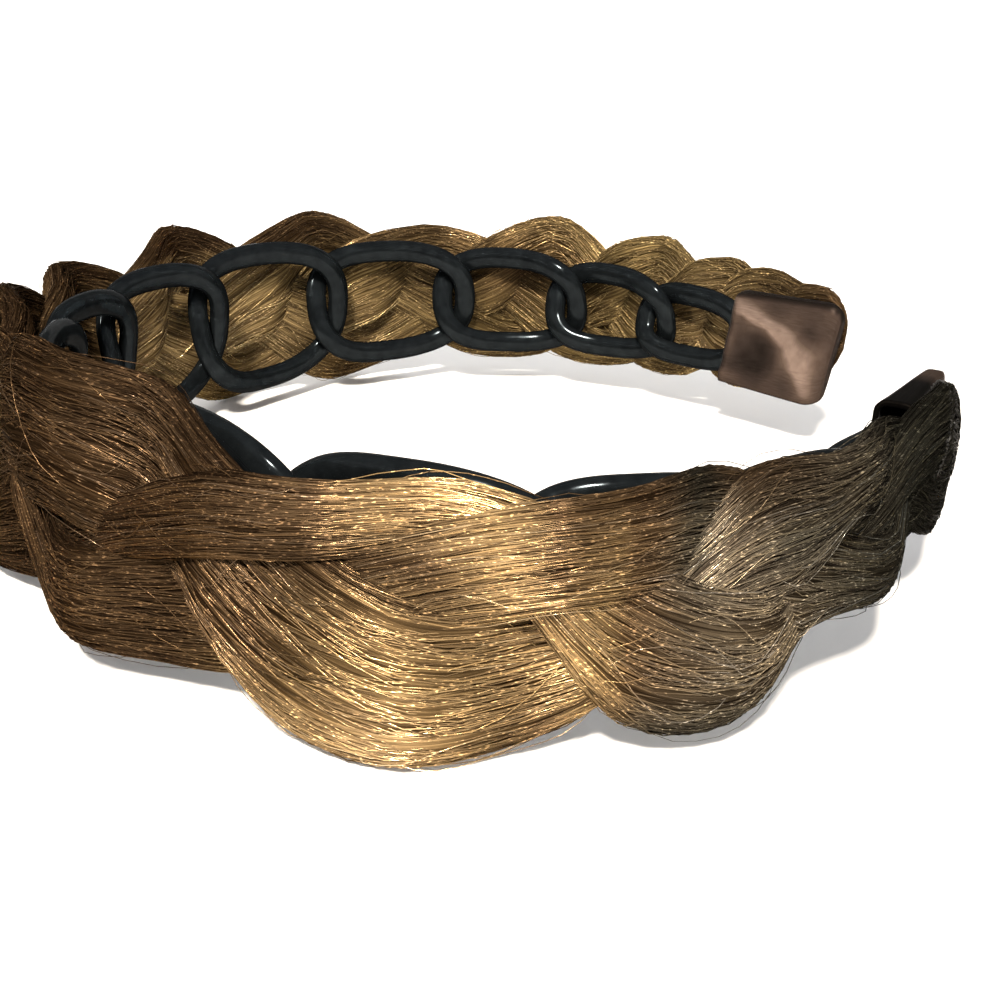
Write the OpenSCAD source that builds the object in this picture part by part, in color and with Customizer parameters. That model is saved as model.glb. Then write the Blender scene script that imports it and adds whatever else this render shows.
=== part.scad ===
// Braided headband: a gloss plastic curb chain bent to the head, a flat three-lock hair braid
// on its outer face, and a satin wrap on each end. Millimetres, +Z up.
// The band lies on its long edge, with the crown toward -X and the two tips toward +X.
// The origin is on the floor, under the middle of the bounding box.

/* [Band plan] */

// Length of the chain line from tip to tip
band_length = 370; // [300:1:460]
// Mean bend of the chain line, in radians over 100 mm
bend_mean = 1.31; // [0.8:0.01:2]
// First wave of the bend: positive makes the crown tighter than the tips
bend_first = 0.433; // [-0.8:0.001:0.8]
// Second wave of the bend: negative tightens the middle of each arm
bend_second = -0.648; // [-0.9:0.001:0.5]
// Third wave of the bend: positive flattens the shoulders of the crown
bend_third = 0.6; // [-0.3:0.01:0.8]

/* [Chain] */

// Width of a link's bar, seen on its face
bar_face = 3.6; // [2:0.1:6]
// Thickness of a link's bar, through the band
bar_depth = 2.8; // [1.6:0.1:5]
// Twist of a link: how far its corners leave the flat, which lets the links pass each other
link_twist = 3.7; // [2:0.1:7]
// How far a link's end bar stands past the joint with the next link
link_overlap = 2.05; // [1:0.05:4]
// Squareness of a link's outline: 2 is an ellipse
link_squareness = 2.5; // [2:0.1:4]
// Distance from a tip to the first link's outer end bar
first_bar = 19; // [12:0.1:40]

/* [Hair braid] */

// Share of the braid's half height that is one lock's own half height
lock_share = 0.6; // [0.35:0.01:0.7]
// How much narrower a lock is on the top edge, and wider on the lower edge, as a share
top_narrowing = 0.2; // [0:0.01:0.4]
// Share of the braid's thickness by which a lock swings in front and behind
swing_share = 0.22; // [0.1:0.01:0.35]
// How far a lock stays in front until it turns round an edge of the braid
swing_lean = 0.45; // [0:0.01:0.5]
// Clear space left between neighbouring locks
lock_gap = 0.6; // [0.1:0.05:1.2]
// Clear space between the back of the braid and the chain or the satin
braid_gap = 0.35; // [0.1:0.05:1]
// How far the hair runs past the chain line's tips
hair_overrun = 1.2; // [0:0.1:5]
// Length over which a lock closes at its ends
lock_nose = 4; // [1:0.5:10]

/* [Satin ends] */

// Length of a satin wrap, from the tip to its mouth
satin_length = 21.5; // [12:0.5:45]
// Thickness of the folded satin
satin_wall = 1; // [0.6:0.1:3]
// Height of the wrap at its mouth
satin_mouth_height = 17.9; // [10:0.1:30]
// Height of the wrap near its tip
satin_tip_height = 19.5; // [10:0.1:30]
// Thickness of the wrap over the link's bar, at the mouth
satin_mouth_depth = 5.8; // [3:0.1:12]
// Thickness of the wrap near its tip, where its layers are pressed together
satin_tip_depth = 3.6; // [2:0.1:12]
// Corner radius of the closed end
satin_nose = 3.4; // [1:0.1:8]
// Clear space in the wrap's pocket, behind the end link's bar
pocket_ease = 0.6; // [0.2:0.1:2]
// Squareness of the wrap's section: 2 is an ellipse
satin_squareness = 5; // [2:0.5:8]

/* [Fineness] */

// Points along one link
link_points = 28; // [16:4:60]
// Points round one link's bar
bar_points = 8; // [6:2:16]
// Stations along one lock
lock_stations = 170; // [60:2:200]
// Points round one lock
lock_points = 12; // [8:2:20]
// Points round one satin wrap
satin_points = 28; // [12:4:48]

/* [Hidden] */

// One arm's links from the tip to the crown: distance of the joint at the crown end of the link
// from the tip, and the link's outer height
LINK_JOINT = 0;
LINK_HEIGHT = 1;
LINKS = [
    [38.5, 16.3],
    [59.1, 19.1],
    [83.1, 22.0],
    [110.6, 25.0],
    [138.9, 28.6],
    [164.1, 27.6],
    [185.0, 27.0]
];

// The braid along the band: distance from the near tip, half height from the braid's middle to the
// top of a lobe, lift of the middle, thickness
BRAID_AT = 0;
BRAID_HALF = 1;
BRAID_LIFT = 2;
BRAID_THICK = 3;
BRAID = [
    [0, 9.4, 1.8, 3.8],
    [6, 11.4, 2.4, 4],
    [14, 12.2, 2.9, 4.4],
    [26, 12.8, 3, 5.4],
    [40, 14, 1.8, 6.6],
    [52, 14.2, 1, 7.6],
    [64, 14.6, -0.4, 8.4],
    [78, 14.6, -0.6, 9],
    [90, 15.9, -2.2, 9.6],
    [100, 16.4, -2.2, 9.8],
    [108, 16.6, -1.2, 9.8],
    [118, 18.6, 2.2, 9.8],
    [134, 19.6, 2.6, 9.8],
    [150, 17.8, 1.6, 9.6],
    [165, 16.4, 0.6, 9.4],
    [186, 15.6, 0, 9.2],
    [207, 15.4, -0.2, 9.2],
    [233, 17.6, 0.2, 9.6],
    [262, 17.8, -0.2, 9.6],
    [283, 13.8, -0.8, 9.4],
    [305, 15.6, 1.2, 8.6],
    [328, 14, 0.7, 6.6],
    [345, 12.2, 0.6, 5],
    [358, 11.6, 0.6, 4.2],
    [370, 9.4, 1, 3.8]
];

// How far each lock has turned, at distances from the near tip: a whole turn is 3, each lock's own
// whole number is its lobe on the top edge, and one and a half further on is on the lower edge
TURNS_A = [
    [1, 0], [42, 1.5], [76, 3], [93, 3.45], [112, 4], [131, 4.5], [152, 5.5], [170, 6],
    [199, 7.5], [231, 9], [269, 10.5], [305.5, 12], [332, 13.5], [354, 15], [374, 16.5]
];
TURNS_B = [
    [-10, -0.5], [26, 1], [64, 2.5], [80, 3], [93, 3.6], [102, 4], [124, 4.5], [163, 5.5],
    [190, 7], [217, 8.5], [262, 10], [299, 11.5], [328, 13], [350, 14.5], [367, 16], [384, 17.5]
];
TURNS_C = [
    [-24, -1], [12, 0.5], [50, 2], [65, 2.5], [79, 3], [93, 3.5], [111, 4], [129, 5], [152, 5.5],
    [171, 6], [181, 6.5], [205, 8], [243, 9.5], [283, 11], [317, 12.5], [345, 14], [361, 15.5],
    [378, 17]
];
TURN_LENGTH = 3;

// Colours
chain_black = [0.05, 0.055, 0.055];
hair_brown = [0.46, 0.33, 0.21];
satin_mauve = [0.47, 0.4, 0.36];

half_length = band_length / 2;
pocket_end = first_bar - bar_face / 2 - pocket_ease;
twist_reach = link_twist / 2 + bar_depth / 2;

function sum_of(list, i = 0) = i < len(list) ? list[i] + sum_of(list, i + 1) : 0 * list[0];
function centre_of(ring) = sum_of(ring) / len(ring);
function column(rows, value) = [for (r = rows) [r[0], r[value]]];
function squared(v, squareness) = sign(v) * pow(abs(v), 2 / squareness);

// Heading of the chain line at s, measured from the crown
function turn(s) =
    let (wave = 360 * s / band_length, reach = band_length / (2 * PI))
    (bend_mean * s + bend_first * reach * sin(wave) + bend_second * reach / 2 * sin(2 * wave)
     + bend_third * reach / 3 * sin(3 * wave)) / 100 * 180 / PI;

// Half of the chain line, walked from the crown in short steps
plan_step = 1;
plan_steps = ceil((half_length + 3 * hair_overrun) / plan_step);
plan = [
    for (i = 0, x = 0, y = 0; i <= plan_steps;
         x = x + plan_step * sin(turn((i + 0.5) * plan_step)),
         y = y + plan_step * cos(turn((i + 0.5) * plan_step)),
         i = i + 1)
    [i * plan_step, x, y]
];
plan_x = column(plan, 1);
plan_y = column(plan, 2);

// A point of the band, from its distance along the chain line, outward and up
function on_band(at, out, up) =
    let (s = at - half_length, h = turn(s))
    [lookup(abs(s), plan_x) - out * cos(h), sign(s) * lookup(abs(s), plan_y) + out * sin(h), up];

// The braid
function braid_half(at) = lookup(at, column(BRAID, BRAID_HALF));
function braid_lift(at) = lookup(at, column(BRAID, BRAID_LIFT));
function braid_thick(at) = lookup(at, column(BRAID, BRAID_THICK));
function braid_back(at) =
    let (d = min(at, band_length - at))
    braid_gap + lookup(d, [
        [0, satin_tip_depth / 2],
        [satin_length, satin_mouth_depth / 2],
        [satin_length + 7, twist_reach]
    ]);

lock_from = -hair_overrun;
lock_to = band_length + hair_overrun;
function lock_close(at) =
    let (d = min(at - lock_from, lock_to - at) / lock_nose)
    d >= 1 ? 1 : sqrt(max(0.02, 1 - pow(1 - d, 2)));
function lock_phase(turns, at) = 90 - 360 * lookup(at, turns) / TURN_LENGTH;
function lock_width(phase) = lock_share * (1 - top_narrowing * sin(phase));

// Middle of a lock at a station, as outward and up
function lock_middle(turns, at) =
    let (
        phase = lock_phase(turns, at),
        swing = braid_thick(at) * swing_share * (sin(2 * phase) - swing_lean * sin(4 * phase)),
        rise = braid_half(at) * (1 - lock_width(phase)) * sin(phase)
    )
    [braid_back(at) + braid_thick(at) / 2 + swing, braid_lift(at) + rise];

// Half thickness and half height of a lock at a station
function lock_radii(turns, at) = lock_close(at) * [
    braid_thick(at) * (0.5 - swing_share),
    braid_half(at) * lock_width(lock_phase(turns, at))
];

// The lobe of a lock carries its whole number, so each lock's turns are counted from its own
function own_turns(rows, first) = [for (r = rows) [r[0], r[1] - first]];
LOCK_A = own_turns(TURNS_A, 0);
LOCK_B = own_turns(TURNS_B, 1);
LOCK_C = own_turns(TURNS_C, 2);

// Reach of a lock's section at angle q: its own ellipse, cut back halfway to each other lock
function lock_reach(own, others, radii, measure, q) =
    let (
        way = [radii[0] / measure[0] * cos(q), radii[1] / measure[1] * sin(q)],
        cuts = [
            for (o = others)
            let (
                apart = [(o[0] - own[0]) / measure[0], (o[1] - own[1]) / measure[1]],
                far = norm(apart),
                toward = (way * apart) / far
            )
            toward > 0.01 ? (far / 2 - lock_gap / 2 / measure[0]) / toward : 1
        ]
    )
    max(0.05, min(concat([1], cuts)));

// A section looks this far before and behind at the other locks too, so that the cuts stay clear
// between stations
look_ahead = 1.3;

function lock_ring(turns, other_a, other_b, at) =
    let (
        own = lock_middle(turns, at),
        others = [
            for (ahead = [-look_ahead, 0, look_ahead], other = [other_a, other_b])
            lock_middle(other, at + ahead)
        ],
        radii = lock_radii(turns, at),
        measure = [braid_thick(at) * (0.5 - swing_share), braid_half(at) * lock_share]
    )
    [
        for (j = [0 : lock_points - 1])
        let (q = 360 * j / lock_points, r = lock_reach(own, others, radii, measure, q))
        on_band(at, own[0] + radii[0] * r * cos(q), own[1] + radii[1] * r * sin(q))
    ];

function lock_rings(turns, other_a, other_b) = [
    for (i = [0 : lock_stations])
    let (t = i / lock_stations)
    lock_ring(turns, other_a, other_b,
              lock_from + (lock_to - lock_from) * (t - 0.12 * sin(360 * t) / (2 * PI)))
];

rings_a = lock_rings(LOCK_A, LOCK_B, LOCK_C);
rings_b = lock_rings(LOCK_B, LOCK_C, LOCK_A);
rings_c = lock_rings(LOCK_C, LOCK_A, LOCK_B);

// The origin: under the middle of the bounding box, which the hair sets on every side
hair_points = [for (rings = [rings_a, rings_b, rings_c], ring = rings, p = ring) p];
hair_x = [for (p = hair_points) p[0]];
hair_y = [for (p = hair_points) p[1]];
hair_z = [for (p = hair_points) p[2]];
origin_shift = [
    -(min(hair_x) + max(hair_x)) / 2,
    -(min(hair_y) + max(hair_y)) / 2,
    -min(hair_z)
];

// Faces of a skin over m rings of n points each
function wall_faces(m, n, closed) = [
    for (i = [0 : m - (closed ? 1 : 2)], j = [0 : n - 1])
    let (
        a = i * n + j,
        b = i * n + (j + 1) % n,
        c = (i + 1) % m * n + (j + 1) % n,
        d = (i + 1) % m * n + j
    )
    each [[a, c, b], [a, d, c]]
];

// Fans that close the first and the last ring on two added middle points
function cap_faces(m, n) = [
    for (j = [0 : n - 1])
    each [
        [m * n, j, (j + 1) % n],
        [m * n + 1, (m - 1) * n + (j + 1) % n, (m - 1) * n + j]
    ]
];

function flat(rings) = [for (ring = rings, p = ring) p];

module loop_skin(rings) {
    translate(origin_shift)
    polyhedron(points = flat(rings), faces = wall_faces(len(rings), len(rings[0]), true));
}

module capped_skin(rings) {
    m = len(rings);
    n = len(rings[0]);
    middles = [centre_of(rings[0]), centre_of(rings[m - 1])];
    translate(origin_shift)
    polyhedron(
        points = concat(flat(rings), middles),
        faces = concat(wall_faces(m, n, false), cap_faces(m, n))
    );
}

// One link: an oval loop whose corners leave the flat by turns. The end link lies flat at its
// outer end, inside the satin.
module link(i, side) {
    from = i == 0 ? first_bar : LINKS[i - 1][LINK_JOINT] - link_overlap;
    to = LINKS[i][LINK_JOINT] + link_overlap;
    middle = (from + to) / 2;
    half_run = (to - from) / 2;
    half_rise = (LINKS[i][LINK_HEIGHT] - bar_face) / 2;
    rings = [
        for (k = [0 : link_points - 1])
        let (
            t = 360 * k / link_points,
            flat_end = i == 0 ? (1 - cos(t)) / 2 : 1,
            run = half_run * squared(cos(t), link_squareness),
            rise = half_rise * squared(sin(t), link_squareness),
            out = link_twist * cos(t) * sin(t) * flat_end,
            across = [
                squared(cos(t), link_squareness / (link_squareness - 1)) / half_run,
                squared(sin(t), link_squareness / (link_squareness - 1)) / half_rise
            ],
            face = across / norm(across)
        )
        [
            for (j = [0 : bar_points - 1])
            let (
                q = 360 * (j + 0.5) / bar_points,
                wide = bar_face / 2 * cos(q)
            )
            let (along = middle - run - wide * face[0])
            on_band(
                side < 0 ? along : band_length - along,
                side * -out + bar_depth / 2 * sin(q),
                rise + wide * face[1]
            )
        ]
    ];
    color(chain_black)
    loop_skin(side < 0 ? rings : [for (r = rings) [for (j = [bar_points - 1 : -1 : 0]) r[j]]]);
}

// How far a rounded end has opened at a distance from it, from 0 to 1
function opened(d, radius) = sqrt(max(0, 1 - pow(max(0, 1 - d / radius), 2)));

// Half thickness and half height of the wrap's outside at a distance from the tip
function satin_half(d) =
    let (
        t = d / satin_length,
        open = opened(d, satin_nose),
        out = satin_tip_depth + (satin_mouth_depth - satin_tip_depth) * t,
        up = satin_tip_height + (satin_mouth_height - satin_tip_height) * t
    )
    [out / 2 * max(open, 0.25), up / 2 - satin_nose * 0.55 * (1 - open)];

// The same for the pocket in it, which is a wall thickness smaller and closes behind the bar
function pocket_half(d) =
    let (open = max(0.3, opened(d - pocket_end, pocket_ease)))
    [for (h = satin_half(d)) (h - satin_wall) * open];

function satin_ring(d, half, side) = [
    for (j = [0 : satin_points - 1])
    let (q = 360 * j / satin_points)
    on_band(
        side < 0 ? d : band_length - d,
        half[0] * squared(cos(q), satin_squareness),
        half[1] * squared(sin(q), satin_squareness)
    )
];

// Stations from a rounded end to the mouth, close together where the end rounds
nose_steps = [0, 0.05, 0.2, 0.45, 0.75, 1];
function satin_stations(from, nose, steps) = concat(
    [for (f = nose_steps) from + nose * f],
    [for (i = [1 : steps]) from + nose + (satin_length - from - nose) * i / steps]
);

module mirrored_skin(rings, side) {
    if (side < 0) {
        capped_skin(rings);
    } else {
        capped_skin([for (i = [len(rings) - 1 : -1 : 0]) rings[i]]);
    }
}

// A folded wrap, closed at the tip, with a pocket at its mouth that holds the end link's bar
module satin(side) {
    outside = satin_stations(0, satin_nose, 8);
    inside = satin_stations(pocket_end, pocket_ease, 3);
    color(satin_mauve)
    mirrored_skin(
        concat(
            [for (d = inside) satin_ring(d, pocket_half(d), side)],
            [for (i = [len(outside) - 1 : -1 : 0]) satin_ring(outside[i], satin_half(outside[i]), side)]
        ),
        side
    );
}

module link_near_1() link(0, -1);
module link_near_2() link(1, -1);
module link_near_3() link(2, -1);
module link_near_4() link(3, -1);
module link_near_5() link(4, -1);
module link_near_6() link(5, -1);
module link_near_7() link(6, -1);
module link_far_1() link(0, 1);
module link_far_2() link(1, 1);
module link_far_3() link(2, 1);
module link_far_4() link(3, 1);
module link_far_5() link(4, 1);
module link_far_6() link(5, 1);
module link_far_7() link(6, 1);
module satin_near() satin(-1);
module satin_far() satin(1);

module lock_a() {
    color(hair_brown)
    capped_skin(rings_a);
}

module lock_b() {
    color(hair_brown)
    capped_skin(rings_b);
}

module lock_c() {
    color(hair_brown)
    capped_skin(rings_c);
}

link_near_1();
link_near_2();
link_near_3();
link_near_4();
link_near_5();
link_near_6();
link_near_7();
link_far_1();
link_far_2();
link_far_3();
link_far_4();
link_far_5();
link_far_6();
link_far_7();
satin_near();
satin_far();
lock_a();
lock_b();
lock_c();
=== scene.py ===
"""Looks of the braided headband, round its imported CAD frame.

Shapes are worked out in millimetres in band coordinates: distance along the chain line from the
near tip, outward from that line, and up from the band's middle. on_band() turns them into metres
in the part's own frame.
"""

import math

import bmesh
import bpy
import numpy as np
from mathutils import Matrix, Vector


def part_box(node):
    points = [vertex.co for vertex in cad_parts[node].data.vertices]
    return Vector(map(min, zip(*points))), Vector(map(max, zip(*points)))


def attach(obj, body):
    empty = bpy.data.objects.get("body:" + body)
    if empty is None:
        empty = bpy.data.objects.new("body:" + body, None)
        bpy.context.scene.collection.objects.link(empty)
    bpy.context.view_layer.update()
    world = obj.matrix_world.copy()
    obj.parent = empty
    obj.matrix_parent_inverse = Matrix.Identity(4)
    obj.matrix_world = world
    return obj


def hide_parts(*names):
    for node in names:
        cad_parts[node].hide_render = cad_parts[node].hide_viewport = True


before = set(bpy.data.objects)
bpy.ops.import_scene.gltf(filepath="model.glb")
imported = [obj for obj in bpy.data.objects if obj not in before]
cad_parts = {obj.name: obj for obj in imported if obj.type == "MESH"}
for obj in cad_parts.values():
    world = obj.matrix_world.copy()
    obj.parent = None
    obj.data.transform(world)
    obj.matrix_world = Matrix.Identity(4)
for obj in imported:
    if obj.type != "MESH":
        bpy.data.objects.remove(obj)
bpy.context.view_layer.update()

bl_info = {
    "name": "Braided headband",
    "version": (1, 0, 0),
    "blender": (4, 5, 0),
    "location": "3D View > Sidebar > Headband",
    "description": "Chain links, satin wraps, braided hair and a plain stage for a headband",
    "category": "Object",
}

MM = 0.001

# Band plan, as in the part's source: mean bend per 100 mm and its waves along the band, and the
# step in which the plan is walked, a little past its end
BAND_LENGTH = 370.0
BEND_MEAN = 1.31
BEND_WAVES = (0.433, -0.648, 0.6)
WALK_STEP = 0.25
WALK_SPARE = 8.0

# Chain. A link's bar is wider across its face than it is deep, a link twists by LINK_TWIST from one
# side to the other, and LINK_SWELL widens its bar beyond the CAD one
BAR_FACE = 3.6
BAR_DEPTH = 2.8
LINK_TWIST = 3.7
LINK_OVERLAP = 2.05
LINK_SQUARENESS = 2.5
LINK_SWELL = 0.7
LINK_BACK = LINK_TWIST / 2 + BAR_DEPTH / 2
# Distance from the tip to the middle of the end link's outer bar
FIRST_BAR = 19.0
# One arm's links from the tip: distance of the joint at the crown end, and outer height
LINKS = ((38.5, 16.3), (59.1, 19.1), (83.1, 22.0), (110.6, 25.0), (138.9, 28.6), (164.1, 27.6),
         (185.0, 27.0))
ARMS = ("near", "far")

# Hair braid. A lock's half height is a share of the braid's: less where the lock swings outward,
# more over the last TIP_REACH of each end, where it also swings less
LOCK_WIDTH = 0.46
WIDTH_CHANGE = 0.08
TIP_WIDENING = 0.42
TIP_SWING = 0.25
TIP_REACH = 45.0
# Swing and half thickness of a lock, as shares of the braid's thickness
SWING_SHARE = 0.2
HALF_THICKNESS = 0.28
SWING_LEAN = 0.45
SWING_LAG = math.radians(20)
LOCK_SQUARENESS = 2.3
# Clearance from the chain, run past the band's ends, and length of a lock's rounded end
BRAID_GAP = 0.35
HAIR_OVERRUN = 1.2
LOCK_NOSE = 5.0
NOSE_BLUNTNESS = 0.02
# Run from a wrap's mouth to where the hair lies on the chain
MOUTH_SLOPE = 7
# Distance from the near tip, half height, lift of the middle, thickness
BRAID = np.array((
    (0, 5, -3, 3), (4, 7, -2, 3.6), (9, 10.7, 1.3, 4.2), (14, 11, 1.4, 4.8), (20, 11, 2.2, 5.4),
    (27, 11.2, 3.6, 5.9), (34, 10.8, 4.2, 6.2), (44, 10.5, 3.7, 6.9), (52, 11.4, 2, 7.6),
    (58, 12.6, 1, 8.1), (64, 14.6, -0.4, 8.4), (78, 14.6, -0.6, 9), (90, 15.4, -1.7, 9.6),
    (100, 16.1, -1.9, 9.8), (108, 16.1, -0.7, 9.8), (118, 17.2, 3.5, 9.8), (134, 18.1, 4.1, 9.8),
    (150, 17.8, 1.6, 9.6), (165, 16.4, 0.6, 9.4), (186, 15.6, 0, 9.2), (207, 15.4, -0.2, 9.2),
    (233, 17.6, 0.2, 9.6), (262, 18.1, -0.4, 9.6), (283, 13.8, -0.8, 9.4), (305, 15.6, 1.2, 8.6),
    (328, 14, 0.7, 6.6), (345, 12.2, 0.6, 5), (358, 11.6, 0.8, 4.2), (364, 9.8, 1.6, 3.8),
    (370, 6.6, 4, 3.4)))
# How far each lock has turned, at distances from the near tip: a whole turn is 3
TURNS = {
    "a": np.array((
        (1, 0), (42, 1.5), (76, 3), (93, 3.45), (112, 4), (131, 4.5), (152, 5.5), (170, 6),
        (199, 7.5), (231, 9), (269, 10.5), (305.5, 12), (332, 13.5), (354, 15), (374, 16.5))),
    "b": np.array((
        (-10, -1.5), (26, 0), (64, 1.5), (80, 2), (93, 2.6), (102, 3), (124, 3.5), (163, 4.5),
        (190, 6), (217, 7.5), (262, 9), (299, 10.5), (328, 12), (350, 13.5), (367, 15),
        (384, 16.5))),
    "c": np.array((
        (-24, -3), (12, -1.5), (50, 0), (65, 0.5), (79, 1), (93, 1.5), (111, 2), (129, 3),
        (152, 3.5), (171, 4), (181, 4.5), (205, 6), (243, 7.5), (283, 9), (317, 10.5), (345, 12),
        (361, 13.5), (378, 15))),
}
# Where a lock's lower and upper edges lie on the near arm, from -1 at the braid's lower edge to 1
# at its upper edge
EDGES = {
    "a": np.array((
        (57, -1, 0.5), (61, -0.5, 0.8), (65, -0.15, 0.95), (70, 0.1, 0.94), (79, 0.2, 0.93),
        (88, 0.08, 0.82), (96, -0.1, 0.62), (103, -0.35, 0.42), (110, -0.75, 0.2),
        (117, -1, -0.05), (131, -1, -0.3), (142, -1, -0.1))),
    "b": np.array((
        (56, -1, -0.3), (61, -1, -0.1), (70, -1, 0.2), (76, -0.95, 0.45), (80, -0.6, 0.7),
        (84, 0.1, 0.85), (88, 0.55, 0.92), (95, 0.45, 0.9), (103, 0.42, 0.88), (111, 0.18, 0.72),
        (118, -0.15, 0.4), (126, -0.3, 0.12), (131, -0.47, 0.02), (139, -0.8, -0.1),
        (146, -1, -0.2))),
    "c": np.array((
        (57, -0.2, 1), (63, -0.15, 1), (67, -0.15, 0.9), (70.5, -0.2, 0.4), (75, -0.6, 0.2),
        (80, -1, 0.1), (87, -1, 0.12), (91, -1, 0.15), (95, -1, 0.24), (103, -1, 0.5),
        (110, -0.95, 0.62), (116, -0.6, 0.78), (125, -0.3, 0.9), (135, -0.05, 0.97),
        (143, -0.23, 1))),
}
# Run over which those edges give way to the plain rule of swing and width
EDGE_BLEND = 8.0
TURN_LENGTH = 3
LOCKS = tuple(TURNS)
# How far to each side of a point the tables are averaged
TABLE_EASE = 6.0
EDGE_EASE = 4.0
EASE = np.linspace(-1, 1, 9)

# Grooves between clumps of hair: how many run round a lock, how fast they drift round it, how much
# and how often they swell, in radians per millimetre, what their sum is divided by, and where they
# fade at the ends and how far
CLUMPS = (5, 8, 13, 19)
CLUMP_DRIFT = 0.012
CLUMP_SWELL = 0.6
CLUMP_SWELL_RATE = (0.03, 0.09)
CLUMP_DIVISOR = 3
CLUMP_FADE = 25
CLUMP_LEAST = 0.2
# One turn round a lock as the streaks are drawn on it: radius of the turn, and the length of lock
# that one unit of its UV map takes
STRAND_RADIUS = 7
FIBRE_UV_LENGTH = 45

# Single hairs: points along one, small kinks round the lock in radians and off it, how thin its
# ends are and how deep they dip into the lock, its waves as a share of its sway, and how far it
# stays from the ends of the lock
FIBRE_POINTS = 11
KINK_TURN = 0.012
KINK_RISE = 0.05
END_TAPER = 0.15
END_DIP = 0.25
WAVE_SHARE = 0.25
FIBRE_MARGIN = 0.2
# Length, rise off the lock, sway round it in radians, and how much more lie on the outer face
LAID_HAIR = {"length": (26, 56), "lift": (0.05, 0.3), "sway": 0.32, "outer": 0.35}
LOOSE_HAIR = {"length": (8, 26), "lift": (0.2, 1.3), "sway": 0.8, "outer": 0.3}
LAID_OVERRUN = 2
LOOSE_SPAN = (35, BAND_LENGTH - 30)
LOOSE_THICKNESS = 0.65
# Mean number of the shade of laid and loose hairs, and its rise from the middle of the braid to
# its outside, which paints shade on hairs that lie deep in the braid
LAID_SHADE = 1.1
LOOSE_SHADE = 2.4
PAINTED_SHADE_BY_DEPTH = 2.5
# A point is inside another lock within this squared share of its half sizes, and a hair is left
# out where this share of its points is
INSIDE = 0.9
HIDDEN_SHARE = 0.6
LOCK_SEED = 11
FIBRE_SEED = 23
STRAY_SEED = 31

# Satin wraps
SATIN_LENGTH = 21.5
SATIN_MOUTH_HEIGHT = 17.9
SATIN_TIP_HEIGHT = 19.5
SATIN_MOUTH_DEPTH = 5.8
SATIN_TIP_DEPTH = 3.6
SATIN_SQUARENESS = 5
SATIN_WALL = 0.8
SATIN_PERIMETER = 46.0
# How much nearer the tip a wrap's upper edge lies than its lower one, at its tip and its mouth
SATIN_SKEW = (2.4, 3.0)
# A wrap's rounded tip: its run, the drop of its corners, and its least share of the thickness
SATIN_CORNER = 4
SATIN_CORNER_DROP = 2.6
SATIN_EDGE = 0.55
# How light a wrap is painted, as painted shade in hollows and painted highlight on folds: at its
# mean height, by its relief, at the least, then painted shade over its mouth on the near arm, from
# a distance from the tip, and along its upper edge on the far arm
PAINTED_LIGHT_MIDDLE = 0.5
PAINTED_LIGHT_SPAN = 0.45
PAINTED_LIGHT_LEAST = 0.12
MOUTH_PAINTED_SHADE = {"start": 6, "run": 5}
EDGE_PAINTED_SHADE = {"start": 0.88, "run": 0.1, "depth": 0.8}
# Points round a wrap, steps along it, and how they crowd towards the tip
SATIN_AROUND = 100
SATIN_STEPS = 50
SATIN_CROWDING = 1.4

# How far a UV map runs in one turn round a tube
UV_TURN = {"fibre": 1.0, "cloth": SATIN_PERIMETER}

# The photograph's camera: place in millimetres from the plan's origin, then turn, dip and roll in
# radians and focal length in widths of the picture
CAMERA_PLACE = (46.031, -188.429, 55.624)
CAMERA_TURN = 0.10847
CAMERA_DIP = 0.37229
CAMERA_ROLL = 0.02654
CAMERA_FOCAL = 1.239575
SENSOR_WIDTH = 36

# Stage, in metres: the paper sweep's profile from its middle, and the two lights
SWEEP_PROFILE = ((0, 0), (1.6, 0), (1.85, 0.03), (2.05, 0.12), (2.2, 0.28), (2.27, 0.5),
                 (2.3, 1.4))
SWEEP_STEPS = 96
KEY_LIGHT = {"place": (-0.16, -0.64, 0.7), "aim": (0, -0.03, 0.02), "size": 0.12}
BACKDROP_LIGHT = {"place": (0, 0.9, 1.3), "aim": (0, 2.3, 0.3), "size": 1.4}
# Power of the backdrop light, as a multiple of the key light's
BACKDROP_SHARE = 3

FLOOR_CLEARANCE = 0.1


def squared(value, squareness):
    """A sine or cosine that draws a squared circle: 2 is round, more is squarer."""
    return np.sign(value) * np.abs(value) ** (2 / squareness)


def heading(s):
    """Heading of the chain line at s, measured from the crown, in radians."""
    wave, reach = 2 * np.pi * s / BAND_LENGTH, BAND_LENGTH / (2 * np.pi)
    turned = BEND_MEAN * s
    for number, bend in enumerate(BEND_WAVES, 1):
        turned = turned + bend * reach / number * np.sin(number * wave)
    return turned / 100


walk = np.arange(0, BAND_LENGTH / 2 + WALK_SPARE, WALK_STEP)
walk_heading = heading(walk[:-1] + WALK_STEP / 2)
plan_x = np.concatenate(([0], np.cumsum(WALK_STEP * np.sin(walk_heading))))
plan_y = np.concatenate(([0], np.cumsum(WALK_STEP * np.cos(walk_heading))))


def on_plan(at, out, up):
    """Band coordinates as x, y and z in millimetres, from the crown and the band's middle."""
    s = at - BAND_LENGTH / 2
    h = heading(s)
    x = np.interp(np.abs(s), walk, plan_x) - out * np.cos(h)
    y = np.sign(s) * np.interp(np.abs(s), walk, plan_y) + out * np.sin(h)
    return np.stack(np.broadcast_arrays(x, y, up), -1)


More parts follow.
